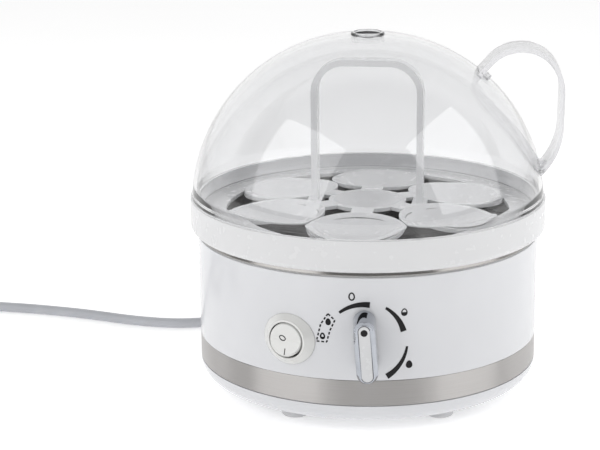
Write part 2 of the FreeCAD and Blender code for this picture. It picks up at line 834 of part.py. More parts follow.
def control_nut():
    """Hexagon nut on the bushing, hidden in the knob's cavity."""
    corner = NUT_HALF / math.cos(math.radians(30))
    points = []
    for index in range(7):
        angle = math.radians(60 * index)
        points.append(Vector(0.1, corner * math.cos(angle), corner * math.sin(angle)))
    prism = Part.Face(Part.makePolygon(points)).extrude(X * 1.7)
    return on_wall(prism.cut(rod(BUSHING_R, -1, 3)), KNOB_AZIMUTH, KNOB_HEIGHT)


# --- Rocker switch ------------------------------------------------------------------

BARREL_R = 10.0
BARREL_END = -14.0
ROCKER_BACK = -4.0
ROCKER_FACE = 3.2
ROCKER_DISH = 9.0
PIVOT_R = 1.0
PIVOT_REACH = 9.6


def switch_bezel():
    """Flange with a sloping rim that follows the wall, and the barrel behind it."""
    cone = Part.makeCone(SWITCH_FLANGE_R, SWITCH_FACE_R, SWITCH_PROUD + 1.5, Vector(-1.5, 0, 0), X)
    cone = cone.cut(on_local_wall())
    barrel = rod(BARREL_R, BARREL_END, 0.0)
    whole = joined([barrel, cone])
    whole = whole.cut(rod(SWITCH_HOLE_R, BARREL_END + 1.6, SWITCH_PROUD + 1))
    reach = PIVOT_REACH + 0.2
    pivot_hole = Part.makeCylinder(PIVOT_R + 0.05, 2 * reach, Vector(0, -reach, 0), Y)
    whole = whole.cut(pivot_hole)
    return on_wall(whole, SWITCH_AZIMUTH, SWITCH_HEIGHT)


def on_local_wall():
    """The housing's outside as seen from a local frame on the wall."""
    return Part.makeCylinder(HOUSING_R - 0.05, 60, Vector(-HOUSING_R, 0, -30), Z)


def switch_rocker():
    """Round rocker with a shallow dish between its two pressing faces."""
    rocker = rod(ROCKER_R, ROCKER_BACK, 8.0).common(Part.makeSphere(ROCKER_BALL_R))
    for side in (-1, 1):
        keep_out = block((0, -15, 0), (10, 15, 20))
        keep_out.rotate(ORIGIN, Y, ROCKER_DISH)
        keep_out.translate(X * ROCKER_FACE)
        if side < 0:
            keep_out.rotate(ORIGIN, X, 180)
        rocker = rocker.cut(keep_out)
    pivot = Part.makeCylinder(PIVOT_R, 2 * PIVOT_REACH, Vector(0, -PIVOT_REACH, 0), Y)
    rocker = rocker.fuse(pivot).removeSplitter()
    rocker.rotate(ORIGIN, Y, -ROCKER_REST_TILT)
    return on_wall(rocker, SWITCH_AZIMUTH, SWITCH_HEIGHT)


def switch_lamp():
    lamp = Part.makeCylinder(2.2, 9.0, Vector(-8.6, -4.5, 0), Y)
    return on_wall(lamp, SWITCH_AZIMUTH, SWITCH_HEIGHT)


def switch_terminals():
    blades = [block((BARREL_END - 8, -2.4, z - 0.4), (BARREL_END, 2.4, z + 0.4)) for z in (-6, 0, 6)]
    return Part.makeCompound([on_wall(blade, SWITCH_AZIMUTH, SWITCH_HEIGHT) for blade in blades])


# --- Electronics and wiring ---------------------------------------------------------

BOARD_LEVEL = 26.0
BOARD_THICK = 1.6
POST_R = 3.0
POST_SPOTS = ((-24.0, -14.0), (24.0, -14.0), (-24.0, 26.0), (24.0, 26.0))


def control_board():
    board = block((-29, -19, BOARD_LEVEL), (29, 31, BOARD_LEVEL + BOARD_THICK))
    for x, y in POST_SPOTS:
        board = board.cut(cylinder(1.6, BOARD_LEVEL - 1, BOARD_LEVEL + 3, x, y))
    return board


def board_posts():
    """Moulded pillars between the base and the board."""
    posts = []
    for x, y in POST_SPOTS:
        on_hub = math.hypot(x, y) < HUB_R - SHEET - POST_R
        foot = FOOT_HEIGHT + SHEET if on_hub else STORE_ROOF + SHEET
        post = cylinder(POST_R, foot, BOARD_LEVEL, x, y)
        posts.append(post.fuse(cylinder(1.6, BOARD_LEVEL, BOARD_LEVEL + 2.6, x, y)).removeSplitter())
    return Part.makeCompound(posts)


def relay():
    top = BOARD_LEVEL + BOARD_THICK
    return block((4, 6, top), (23, 21.5, top + 15.5))


def buzzer():
    top = BOARD_LEVEL + BOARD_THICK
    can = cylinder(6.0, top, top + 9, -17, 13)
    return can.cut(cylinder(1.0, top + 6, top + 10, -17, 13))


def capacitors():
    top = BOARD_LEVEL + BOARD_THICK
    film = block((-22, -8, top), (-4, 0, top + 14))
    can = cylinder(4.0, top, top + 12, 4, -10)
    return Part.makeCompound([film, can])


def terminal_block():
    """Screw terminals on the board's rear edge."""
    top = BOARD_LEVEL + BOARD_THICK
    body = block((-12, 23, top), (12, 31, top + 10))
    for x in (-8, 0, 8):
        body = body.cut(cylinder(2.2, top + 6, top + 11, x, 27))
        body = body.cut(block((x - 2.5, 29, top + 1.5), (x + 2.5, 32, top + 5)))
    return body


def wire(points):
    """Thin insulated lead along straight runs joined by arcs."""
    route = [Vector(*point) for point in points]
    return tube_along(route, easy_radii(route), 0.9)


def internal_wiring():
    """Leads from the terminals up to the heater pins."""
    level = BOARD_LEVEL + BOARD_THICK + 3.2
    wires = []
    for side in (-1, 1):
        spot = polar(ELEMENT_RING_R, 90 + side * (ELEMENT_GAP / 2 + 3))
        x = -side * 8.0
        wires.append(wire((
            (x, 29.5, level),
            (x, 33.5, level),
            ((x + spot.x) / 2, 37.5, level + 1.5),
            (spot.x, spot.y, level + 4.5),
            (spot.x, spot.y, PIN_END),
        )))
    return Part.makeCompound(wires)


# --- Mains lead ---------------------------------------------------------------------

GLAND_NECK_R = 3.8
GLAND_WIDE_R = 4.4
GLAND_TIP_R = 3.3
CLAMP_BASE = FOOT_HEIGHT + SHEET


def cord_gland():
    """Tapered sleeve that leads the cord out of the hub, with a collar inside the wall."""
    neck = Part.makeCylinder(GLAND_NECK_R, SHEET, Vector(HUB_R - SHEET, 0, GLAND_HEIGHT), X)
    inside = Vector(HUB_R - SHEET - 3, 0, GLAND_HEIGHT)
    collar = Part.makeCylinder(GLAND_NECK_R - 0.8, 3, inside, X)
    length = GLAND_END_R - HUB_R
    sleeve = Part.makeCone(GLAND_WIDE_R, GLAND_TIP_R, length, Vector(HUB_R, 0, GLAND_HEIGHT), X)
    gland = joined([collar, neck, sleeve])
    for station in (6.0, 10.0, 14.0, 18.0):
        start = HUB_R + station
        for y in (-3.6, 3.6):
            gland = gland.cut(block((start, y - 1.0, 0), (start + 1.4, y + 1.0, 20)))
    return spun(gland, GLAND_AZIMUTH)


def cord_clamp():
    """Bridge that holds the lead down inside the hub."""
    bridge = block((8, -9, CLAMP_BASE), (16, 9, CLAMP_BASE + 7.5))
    bridge = bridge.cut(block((7, -3.2, CLAMP_BASE), (17, 3.2, CLAMP_BASE + 5.0)))
    for side in (-1, 1):
        bridge = bridge.cut(cylinder(SCREW_R, CLAMP_BASE - 1, CLAMP_BASE + 9, 12, side * 6.2))
    return spun(bridge, GLAND_AZIMUTH)


def clamp_screws():
    screws = []
    for side in (-1, 1):
        one = screw(12.0, side * 6.2, CLAMP_BASE + 7.5, 1.6, CLAMP_BASE, False)
        screws.append(spun(one, GLAND_AZIMUTH))
    return Part.makeCompound(screws)


def power_cord():
    points = [Vector(*point) for point in CORD_ROUTE]
    return tube_along(points, easy_radii(points), CORD_D / 2)


def cord_coil():
    """Outer shape of two neat turns that lie side by side on the table."""
    coil = turned((
        (COIL_IN_R, 0, COIL_ROUNDING),
        (COIL_OUT_R, 0, COIL_ROUNDING),
        (COIL_OUT_R, COIL_HEIGHT, COIL_ROUNDING),
        (COIL_IN_R, COIL_HEIGHT, COIL_ROUNDING),
    ))
    coil.translate(COIL_CENTRE)
    return coil


def cord_end():
    points = [Vector(*point) for point in CORD_END_ROUTE]
    return tube_along(points, easy_radii(points), CORD_D / 2)


SLEEVE_LENGTH = 22.0
PLUG_LENGTH = 36.0
PLUG_WIDTH = 35.0
PLUG_HEIGHT = 13.6
PIN_TAIL = 8.0
PIN_TAIL_R = 1.4
PIN_SPACING = 18.6
PIN_R = 2.0
PIN_LENGTH = 19.0


def placed_plug(shape):
    """Local +X is the way the pins point, and x = 0 is where the lead enters."""
    copy = shape.copy()
    copy.rotate(ORIGIN, Z, PLUG_HEADING)
    copy.translate(PLUG_START)
    return copy


def plug_body():
    """Flat two-pin plug with a tapered sleeve on the lead."""
    sleeve = Part.makeCone(3.4, 5.2, SLEEVE_LENGTH + 4, ORIGIN, X)
    start = SLEEVE_LENGTH
    end = start + PLUG_LENGTH
    half = PLUG_WIDTH / 2
    low = -PLUG_HEIGHT / 2
    points = [
        Vector(start, -7.0, low),
        Vector(end - 14, -half, low),
        Vector(end, -half, low),
        Vector(end, half, low),
        Vector(end - 14, half, low),
        Vector(start, 7.0, low),
    ]
    radii = [3.0, 9.0, 1.0, 1.0, 9.0, 3.0]
    face = Part.Face(Part.Wire(path_edges(points, radii, True)))
    body = face.extrude(Z * PLUG_HEIGHT)
    upright = [edge for edge in body.Edges if abs(edge.BoundBox.ZLength) < 0.01]
    body = body.makeFillet(1.6, upright)
    plug = joined([body, sleeve])
    for side in (-1, 1):
        socket = rod(PIN_TAIL_R, end - PIN_TAIL, end)
        socket.translate(Y * (side * PIN_SPACING / 2))
        plug = plug.cut(socket)
    return placed_plug(plug)


def plug_pins():
    end = SLEEVE_LENGTH + PLUG_LENGTH
    pins = []
    for side in (-1, 1):
        tail = rod(PIN_TAIL_R, end - PIN_TAIL, end)
        shank = rod(PIN_R, end, end + PIN_LENGTH - 1.0)
        tip = Part.makeCone(PIN_R, PIN_R - 0.9, 1.0, Vector(end + PIN_LENGTH - 1.0, 0, 0), X)
        pin = joined([tail, shank, tip])
        pin.translate(Y * (side * PIN_SPACING / 2))
        pins.append(placed_plug(pin))
    return Part.makeCompound(pins)


# --- Output -------------------------------------------------------------------------

PIECES = (
    lid_dome, vent_ring, lid_handle, egg_tray, tray_handle,
    heating_bowl, bowl_gasket, heat_spreader, heating_element, heater_terminals,
    thermostat, thermal_fuse, bowl_brackets, bracket_screws,
    housing_shell, decor_band, base_plate, rubber_feet, base_screws,
    knob_body, knob_insert, knob_pointer, control_shaft, rotary_control, control_nut,
    switch_bezel, switch_rocker, switch_lamp, switch_terminals,
    control_board, board_posts, relay, buzzer, capacitors, terminal_block, internal_wiring,
    cord_gland, cord_clamp, clamp_screws, power_cord, cord_coil, cord_end, plug_body, plug_pins,
)


def main():
    os.makedirs("parts", exist_ok=True)
    for make in PIECES:
        name = make.__name__
        shape = make()
        state = "" if shape.isValid() else "  NOT VALID"
        print(f"{name}: {len(shape.Solids)} solids, {shape.Volume / 1000:.2f} cm3{state}")
        shape.exportStep(f"parts/{name}.step")


main()
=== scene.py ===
import json
import math

import bmesh
import bpy
from mathutils import Matrix, Vector
from mathutils.bvhtree import BVHTree


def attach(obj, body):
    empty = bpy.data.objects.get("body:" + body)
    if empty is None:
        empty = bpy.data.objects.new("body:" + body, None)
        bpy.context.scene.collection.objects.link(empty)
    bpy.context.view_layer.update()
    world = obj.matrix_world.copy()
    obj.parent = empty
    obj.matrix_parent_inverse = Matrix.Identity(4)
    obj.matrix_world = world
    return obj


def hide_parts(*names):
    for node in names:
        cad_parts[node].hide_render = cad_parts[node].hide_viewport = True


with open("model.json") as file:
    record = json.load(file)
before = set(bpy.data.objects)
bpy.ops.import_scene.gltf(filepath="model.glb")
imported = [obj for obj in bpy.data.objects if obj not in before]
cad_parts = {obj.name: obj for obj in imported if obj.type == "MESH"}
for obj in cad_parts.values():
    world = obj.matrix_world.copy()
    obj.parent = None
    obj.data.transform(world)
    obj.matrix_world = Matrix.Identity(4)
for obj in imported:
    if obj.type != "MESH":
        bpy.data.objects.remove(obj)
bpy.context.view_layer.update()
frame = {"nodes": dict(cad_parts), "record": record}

MM = 0.001
NODES = frame["nodes"]

# --- Camera -------------------------------------------------------------------------

CAMERA_AT = (-0.0018, -0.9850, 0.3550)
CAMERA_PITCH = 74.456
CAMERA_YAW = 1.9
CAMERA_ROLL = -0.47
# Millimetres, and for the reach metres.
CAMERA_LENS = 120.0
CAMERA_SENSOR = 36.0
CAMERA_REACH = (0.05, 30.0)


def make_camera():
    data = bpy.data.cameras.new("camera")
    data.lens = CAMERA_LENS
    data.sensor_width = CAMERA_SENSOR
    data.clip_start, data.clip_end = CAMERA_REACH
    camera = bpy.data.objects.new("camera", data)
    bpy.context.scene.collection.objects.link(camera)
    turn = Matrix.Rotation(math.radians(CAMERA_YAW), 4, "Z")
    tilt = Matrix.Rotation(math.radians(CAMERA_PITCH), 4, "X")
    roll = Matrix.Rotation(math.radians(CAMERA_ROLL), 4, "Z")
    camera.matrix_world = Matrix.Translation(CAMERA_AT) @ turn @ tilt @ roll
    bpy.context.scene.camera = camera


make_camera()

# --- Mains lead ---------------------------------------------------------------------

# Millimetres, from where the lead leaves the base to where it enters the plug.
CORD_D = 5.4
CORD_EXIT = (-16.7, 51.4, 8.2)
CORD_ROUTE = (
    CORD_EXIT,
    (-23.5, 72.3, 5.2),
    (-39.0, 88.5, 2.75),
    (-61.0, 92.2, 2.7),
    (-81.5, 80.8, 2.7),
    (-104.0, 74.8, 2.7),
    (-130.0, 79.9, 2.7),
    (-159.0, 92.3, 2.7),
    (-186.0, 100.4, 2.7),
    (-211.0, 105.7, 2.7),
    (-231.0, 108.3, 2.7),
    (-246.0, 109.2, 2.7),
)
CORD_END_ROUTE = (
    (-287.9, 62.0, 8.2),
    (-287.2, 48.3, 7.6),
    (-285.8, 34.5, 6.9),
)
COIL_CENTRE = (-253.0, 73.3)

# The coil's line: (azimuth from its start, distance from the centre, height).
COIL_LINE = (
    (90, 35.3, 2.7),
    (370, 35.1, 2.7),
    (385, 34.2, 2.7),
    (400, 33.0, 2.7),
    (415, 31.6, 2.7),
    (430, 30.2, 2.7),
    (442, 29.4, 2.7),
    (725, 29.4, 2.7),
    (745, 28.0, 3.1),
    (762, 27.6, 5.2),
    (778, 28.0, 7.6),
    (793, 29.4, 8.4),
    (806, 30.9, 8.2),
    (820, 32.2, 7.6),
    (835, 32.5, 7.5),
    (880, 32.8, 7.6),
    (895, 33.8, 8.0),
)
COIL_START = 98
COIL_STOP = 896
COIL_STEP = 18


def between(table, at):
    """Values of a table of (position, value, value...) rows at a position."""
    for low, high in zip(table, table[1:]):
        if at <= high[0]:
            share = (at - low[0]) / (high[0] - low[0])
            return [a + (b - a) * share for a, b in zip(low[1:], high[1:])]
    return list(table[-1][1:])


def coil_points():
    """Control points of the coil.

    The middle of a quadratic B-spline's span is 1/8, 6/8 and 1/8 of three neighbours, which
    is inside the circle that they lie on, so the points are set out by the inverse of that.
    """
    outset = 8 / (6 + 2 * math.cos(math.radians(COIL_STEP)))
    points = []
    for azimuth in range(COIL_START, COIL_STOP + 1, COIL_STEP):
        distance, height = between(COIL_LINE, azimuth)
        angle = math.radians(azimuth)
        x = COIL_CENTRE[0] + distance * outset * math.cos(angle)
        y = COIL_CENTRE[1] + distance * outset * math.sin(angle)
        points.append((x, y, height))
    return points


def make_lead():
    """The whole lead as one tube; its thickness is in the points' radius."""
    points = [*CORD_ROUTE, *coil_points(), *CORD_END_ROUTE]
    curve = bpy.data.curves.new("lead", "CURVE")
    curve.dimensions = "3D"
    curve.bevel_depth = 1.0
    curve.bevel_resolution = 6
    curve.resolution_u = 8
    curve.use_fill_caps = True
    spline = curve.splines.new("NURBS")
    spline.points.add(len(points) - 1)
    for point, place in zip(spline.points, points):
        point.co = (place[0] * MM, place[1] * MM, place[2] * MM, 1.0)
        point.radius = CORD_D / 2 * MM
    spline.order_u = 3
    spline.use_endpoint_u = True
    lead = bpy.data.objects.new("lead", curve)
    bpy.context.scene.collection.objects.link(lead)
    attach(lead, "base")
    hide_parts("power_cord", "cord_coil", "cord_end")
    return lead


LEAD = make_lead()

# --- Materials ----------------------------------------------------------------------

# The values that most of a noise texture lies between.
NOISE_SPAN = (0.3, 0.7)
BEVEL_SAMPLES = 4


class Surface:
    """A node material around one Principled shader."""

    def __init__(self, name, **sockets):
        self.material = bpy.data.materials.new(name)
        self.material.use_nodes = True
        self.tree = self.material.node_tree
        self.shader = self.tree.nodes["Principled BSDF"]
        self.out = self.tree.nodes["Material Output"]
        for key, value in sockets.items():
            self.shader.inputs[key.replace("_", " ")].default_value = value
        self.place = self.node("ShaderNodeTexCoord").outputs["Object"]

    def node(self, kind, **sockets):
        node = self.tree.nodes.new(kind)
        for key, value in sockets.items():
            self.feed(node.inputs[key.replace("_", " ")], value)
        return node

    def feed(self, socket, value):
        if isinstance(value, bpy.types.NodeSocket):
            self.tree.links.new(value, socket)
        else:
            socket.default_value = value

    def math(self, operation, first, second=0.0):
        node = self.tree.nodes.new("ShaderNodeMath")
        node.operation = operation
        self.feed(node.inputs[0], first)
        self.feed(node.inputs[1], second)
        return node.outputs[0]

    def around(self, along, upward):
        """Coordinates that run round the Z axis, out from it and up."""
        parts = self.node("ShaderNodeSeparateXYZ", Vector=self.place).outputs
        angle = self.math("ARCTAN2", parts["Y"], parts["X"])
        reach = self.math("ADD", self.math("POWER", parts["X"], 2.0), self.math("POWER", parts["Y"], 2.0))
        reach = self.math("SQRT", reach)
        node = self.node(
            "ShaderNodeCombineXYZ",
            X=self.math("MULTIPLY", angle, along),
            Y=self.math("MULTIPLY", reach, upward),
            Z=self.math("MULTIPLY", parts["Z"], upward),
        )
        return node.outputs[0]

    def noise(self, scale, detail=3.0, where=None):
        source = self.place if where is None else where
        return self.node("ShaderNodeTexNoise", Vector=source, Scale=scale, Detail=detail).outputs["Fac"]

    def ramp(self, value, low, high):
        """Value of a noise texture, spread over low to high."""
        least, most = NOISE_SPAN
        node = self.node("ShaderNodeMapRange", Value=value, From_Min=least, From_Max=most)
        node.inputs["To Min"].default_value = low
        node.inputs["To Max"].default_value = high
        return node.outputs["Result"]

    def colour(self, value, first, second):
        node = self.tree.nodes.new("ShaderNodeMix")
        node.data_type = "RGBA"
        self.feed(node.inputs[0], self.ramp(value, 0.0, 1.0))
        node.inputs[6].default_value = (*first, 1.0)
        node.inputs[7].default_value = (*second, 1.0)
        self.tree.links.new(node.outputs[2], self.shader.inputs["Base Color"])

    def rough(self, value, low, high):
        self.tree.links.new(self.ramp(value, low, high), self.shader.inputs["Roughness"])

    def bump(self, value, height, strength=1.0, edge=0.0):
        """Relief in metres, with the sharp edges softened over a radius when one is given."""
        node = self.node("ShaderNodeBump", Height=value, Strength=strength, Distance=height)
        if edge > 0:
            bevel = self.node("ShaderNodeBevel", Radius=edge)
            bevel.samples = BEVEL_SAMPLES
            self.tree.links.new(bevel.outputs[0], node.inputs["Normal"])
        self.tree.links.new(node.outputs[0], self.shader.inputs["Normal"])


# Surface relief in metres.
MOULDED_RELIEF = 0.00001
TURNED_RELIEF = 0.000004
PLAIN_RELIEF = 0.000005
CLEAR_RELIEF = 0.00002
TRACK_RELIEF = 0.00003


def moulded(name, first, second, rough, relief=MOULDED_RELIEF, edge=0.0003, **sockets):
    """Injection-moulded plastic: faint cloudiness, uneven gloss and an orange-peel surface."""
    s = Surface(name, **sockets)
    s.colour(s.noise(38.0, 2.0), first, second)
    s.rough(s.noise(220.0, 4.0), *rough)
    s.bump(s.noise(500.0, 1.0), relief, 0.25, edge)
    return s.material


def turned_metal(name, first, second, rough, along=3.0, upward=9000.0, **sockets):
    """Metal with fine lines that run round the Z axis."""
    s = Surface(name, Metallic=1.0, **sockets)
    lines = s.noise(1.0, 3.0, s.around(along, upward))
    s.colour(lines, first, second)
    s.rough(lines, *rough)
    s.bump(lines, TURNED_RELIEF, 0.5)
    return s.material


def plain_metal(name, first, second, rough, edge=0.0002):
    """Plated or drawn metal with faint, even wear."""
    s = Surface(name, Metallic=1.0)
    s.colour(s.noise(160.0, 4.0), first, second)
    s.rough(s.noise(420.0, 3.0), *rough)
    s.bump(s.noise(1500.0, 2.0), PLAIN_RELIEF, 0.4, edge)
    return s.material


def clear(name, tint, rough, ior, shadow):
    """Clear plastic that lets lamps through."""
    s = Surface(name, Transmission_Weight=1.0)
    s.shader.inputs["IOR"].default_value = ior
    s.colour(s.noise(60.0, 2.0), tint, [min(1.0, c * 1.01) for c in tint])
    s.rough(s.noise(35.0, 1.0), *rough)
    s.bump(s.noise(14.0, 0.0), CLEAR_RELIEF, 0.2)
    path = s.tree.nodes.new("ShaderNodeLightPath")
    through = s.tree.nodes.new("ShaderNodeBsdfTransparent")
    through.inputs["Color"].default_value = (*shadow, 1.0)
    mix = s.tree.nodes.new("ShaderNodeMixShader")
    s.tree.links.new(path.outputs["Is Shadow Ray"], mix.inputs[0])
    s.tree.links.new(s.shader.outputs[0], mix.inputs[1])
    s.tree.links.new(through.outputs[0], mix.inputs[2])
    s.tree.links.new(mix.outputs[0], s.out.inputs["Surface"])
    return s.material


def board():
    """Green circuit board with a grid of copper tracks under the lacquer."""
    s = Surface("board_resin", Roughness=0.4)
    tracks = s.node("ShaderNodeTexBrick", Vector=s.place, Scale=160.0)
    tracks.inputs["Color1"].default_value = (0.02, 0.16, 0.06, 1)
    tracks.inputs["Color2"].default_value = (0.03, 0.20, 0.08, 1)
    tracks.inputs["Mortar"].default_value = (0.10, 0.32, 0.14, 1)
    tracks.inputs["Mortar Size"].default_value = 0.06
    s.tree.links.new(tracks.outputs["Color"], s.shader.inputs["Base Color"])
    s.rough(s.noise(300.0), 0.3, 0.5)
    s.bump(tracks.outputs["Fac"], TRACK_RELIEF, 0.5)
    return s.material


MATERIALS = {
    "clear_lid": clear("clear_lid", (0.885, 0.887, 0.893), (0.0, 0.03), 1.49, (0.95, 0.95, 0.95)),
    "tray_plastic": moulded(
        "tray_plastic", (0.67, 0.672, 0.68), (0.68, 0.682, 0.69), (0.25, 0.28), 0.000002, 0.0,
    ),
    "bowl_steel": turned_metal(
        "bowl_steel", (0.30, 0.29, 0.28), (0.38, 0.37, 0.36), (0.14, 0.26), 2.0, 2500.0
    ),
    "gasket_silicone": moulded("gasket_silicone", (0.5, 0.5, 0.5), (0.56, 0.56, 0.56), (0.5, 0.65)),
    "heater_aluminium": turned_metal("heater_aluminium", (0.7, 0.7, 0.71), (0.78, 0.78, 0.79), (0.3, 0.45)),
    "heater_sheath": plain_metal("heater_sheath", (0.18, 0.17, 0.17), (0.3, 0.28, 0.27), (0.4, 0.6)),
    "contact_brass": plain_metal("contact_brass", (0.72, 0.58, 0.32), (0.8, 0.66, 0.4), (0.2, 0.35)),
    "bracket_steel": plain_metal("bracket_steel", (0.55, 0.55, 0.57), (0.66, 0.66, 0.68), (0.25, 0.4)),
    "screw_steel": plain_metal("screw_steel", (0.5, 0.5, 0.52), (0.6, 0.6, 0.62), (0.25, 0.38)),
    "housing_plastic": moulded(
        "housing_plastic", (0.655, 0.66, 0.68), (0.67, 0.675, 0.695), (0.18, 0.22), edge=0.0, Coat_Weight=0.2,
    ),
    "band_steel": turned_metal(
        "band_steel", (0.47, 0.455, 0.445), (0.53, 0.515, 0.505), (0.36, 0.42), 2.5, 7000.0, Anisotropic=1.0,
        Anisotropic_Rotation=0.25,
    ),
    "foot_rubber": moulded("foot_rubber", (0.6, 0.6, 0.61), (0.68, 0.68, 0.69), (0.55, 0.7), 0.00003),
    "knob_chrome": plain_metal("knob_chrome", (0.40, 0.42, 0.46), (0.46, 0.48, 0.52), (0.03, 0.07), 0.0005),
    "knob_satin": moulded("knob_satin", (0.60, 0.605, 0.615), (0.64, 0.645, 0.655), (0.22, 0.3), 0.000002),
    "mark_black": moulded(
        "mark_black", (0.006, 0.006, 0.007), (0.012, 0.011, 0.012), (0.5, 0.65), edge=0.0,
        Specular_IOR_Level=0.25,
    ),
    # Dark grey painted shade for the groove round the knob's insert, not a colour of the knob.
    "groove_shade_grey": moulded("groove_shade_grey", (0.10, 0.10, 0.11), (0.13, 0.13, 0.14), (0.4, 0.5), edge=0.0),
    "inner_plastic": moulded("inner_plastic", (0.72, 0.72, 0.70), (0.8, 0.8, 0.78), (0.35, 0.5)),
    "switch_clear": moulded(
        "switch_clear", (0.69, 0.69, 0.675), (0.72, 0.72, 0.705), (0.08, 0.14), Coat_Weight=0.5,
    ),
    "lamp_glass": clear("lamp_glass", (0.95, 0.75, 0.6), (0.02, 0.08), 1.5, (0.95, 0.8, 0.7)),
    "board_resin": board(),
    "wire_sheath": moulded("wire_sheath", (0.66, 0.66, 0.62), (0.75, 0.75, 0.71), (0.45, 0.6)),
    "cord_sheath": moulded("cord_sheath", (0.44, 0.45, 0.48), (0.50, 0.51, 0.54), (0.35, 0.5), 0.00003, 0.0),
    "contact_nickel": plain_metal("contact_nickel", (0.66, 0.65, 0.6), (0.76, 0.75, 0.7), (0.12, 0.24)),
}


# The ear's clear plastic: rougher, with a darker tint as painted shade for the greyness that refraction gives
# it.
EAR_SHADED_CLEAR = clear("clear_lid_ear_shaded", (0.76, 0.76, 0.775), (0.12, 0.2), 1.49, (0.9, 0.9, 0.9))


def paint_nodes():
    """Each CAD node takes the material of its record slot; the ear's is a rougher copy whose darker tint is
    painted shade.
    """
    for part in frame["record"]["subparts"]:
        mesh = NODES[part["node"]].data
        mesh.materials.clear()
        shaded_ear = part["node"] == "lid_handle"
        mesh.materials.append(EAR_SHADED_CLEAR if shaded_ear else MATERIALS[part["material_slot"]])
    LEAD.data.materials.append(MATERIALS["cord_sheath"])


paint_nodes()

# --- Lid dome -----------------------------------------------------------------------

DOME_R = 89.0
DOME_TOP = 180.0
DOME_WALL = 2.0
DOME_FOOT = 98.0
DOME_HOLE_R = 8.35
DOME_HEIGHT_POWER = 1.83
DOME_RADIUS_POWER = 2.11
DOME_RINGS = 56
DOME_SIDES = 288
SHARP_ANGLE = math.radians(32)

# The lid's spigot, which stands inside the tray, and the ledge that the dome's inside ends on.
SPIGOT_INNER_R = 85.4
SPIGOT_BOTTOM = 91.0
SPIGOT_OUTER = ((86.7, SPIGOT_BOTTOM), (87.4, 92.2), (87.4, DOME_FOOT))
LEDGE_TOP = 100.2


def dome_side(radius, top):
    """Outline of one face of the dome from its foot up to the vent's hole."""
    last = (1 - (DOME_HOLE_R / radius) ** DOME_RADIUS_POWER) ** (1 / DOME_HEIGHT_POWER)
    points = []
    for i in range(DOME_RINGS + 1):
        share = math.sin(math.asin(last) * i / DOME_RINGS)
        reach = radius * (1 - share**DOME_HEIGHT_POWER) ** (1 / DOME_RADIUS_POWER)
        points.append((reach, DOME_FOOT + share * (top - DOME_FOOT)))
    return points


def make_dome():
    """The lid's dome and its spigot as one finely turned shell."""
    outer = dome_side(DOME_R, DOME_TOP)
    inside = dome_side(DOME_R - DOME_WALL, DOME_TOP - DOME_WALL)
    inner = [point for point in inside if point[1] > LEDGE_TOP]
    outline = [(SPIGOT_INNER_R, SPIGOT_BOTTOM), *SPIGOT_OUTER, *outer]
    outline += [*inner[::-1], (SPIGOT_INNER_R, DOME_FOOT)]
    vertices = []
    for side in range(DOME_SIDES):
        angle = 2 * math.pi * side / DOME_SIDES
        for reach, height in outline:
            vertices.append((reach * math.cos(angle) * MM, reach * math.sin(angle) * MM, height * MM))
    count = len(outline)
    faces = []
    for side in range(DOME_SIDES):
        here, there = side * count, (side + 1) % DOME_SIDES * count
        for i in range(count):
            j = (i + 1) % count
            faces.append((here + i, there + i, there + j, here + j))
    mesh = bpy.data.meshes.new("dome_shell")
    mesh.from_pydata(vertices, [], faces)
    mesh.polygons.foreach_set("use_smooth", [True] * len(mesh.polygons))
    mesh.set_sharp_from_angle(angle=SHARP_ANGLE)
    mesh.materials.append(MATERIALS["clear_lid"])
    dome = bpy.data.objects.new("dome_shell", mesh)
    bpy.context.scene.collection.objects.link(dome)
    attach(dome, "lid")
    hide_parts("lid_dome")


make_dome()

# --- Printed marks ------------------------------------------------------------------

# Millimetres: how far the print stands out and reaches in, and how far out its rays start.
PRINT_THICK = 0.06
PRINT_ROOT = 0.02
RAY_START = 30.0

# Where each group of marks is measured from.
WALL_R = 86.3
DIAL_X = -0.65
DIAL_Z = 47.1
KNOB_AZIMUTH = math.radians(269.5)
KNOB_LEAN = math.radians(4.2)
KNOB_R = 86.4
KNOB_HEIGHT = 47.8
SWITCH_AZIMUTH = math.radians(244.0)
SWITCH_R = 86.4
SWITCH_HEIGHT = 46.0


def mark(name, body, target, faces, axis_x, axis_z, start, outward, material="mark_black"):
    """Thin raised print: flat outlines in millimetres, laid on a CAD node's surface.

    faces is a list of convex outlines of (x, z) points, start the point that they are
    measured from, axis_x and axis_z their directions, and outward the way the print faces.
    """
    surface = NODES[target]
    tree = BVHTree.FromPolygons(
        [v.co for v in surface.data.vertices],
        [p.vertices for p in surface.data.polygons],
    )
    mesh = bmesh.new()
    for outline in faces:
        low = []
        high = []
        for x, z in outline:
            origin = start + (axis_x * x + axis_z * z + outward * RAY_START) * MM
            hit = tree.ray_cast(origin, -outward)[0]
            low.append(mesh.verts.new(hit - outward * PRINT_ROOT * MM))
            high.append(mesh.verts.new(hit + outward * PRINT_THICK * MM))
        mesh.faces.new(high)
        mesh.faces.new(low[::-1])
        count = len(outline)
        for i in range(count):
            j = (i + 1) % count
            mesh.faces.new((low[i], low[j], high[j], high[i]))
    bmesh.ops.remove_doubles(mesh, verts=mesh.verts, dist=1e-7)
    bmesh.ops.recalc_face_normals(mesh, faces=mesh.faces)
    data = bpy.data.meshes.new(name)
    mesh.to_mesh(data)
    mesh.free()
    data.materials.append(MATERIALS[material])
    piece = bpy.data.objects.new(name, data)
    bpy.context.scene.collection.objects.link(piece)
    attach(piece, body)


# Dial arcs: (first and last azimuth clockwise from the top, thickness at each).
ARC_R = 20.0
ARC_RISE = 1.045
ARC_DROP = 0.75
ARC_STEPS = 24
DIAL_ARCS = (
    (-41.3, 5.2, 1.3, 2.8),
    (28.3, 72.6, 1.3, 2.9),
    (95.0, 148.2, 1.1, 2.9),
)
EGG_STEPS = 28
EGG_NARROWING = 0.16
FIELD_CORNERS = (
    (-18.2, 13.6), (-14.9, 10.6), (-17.3, 5.2), (-18.8, -0.6), (-23.7, -0.5), (-21.7, 8.1),
)
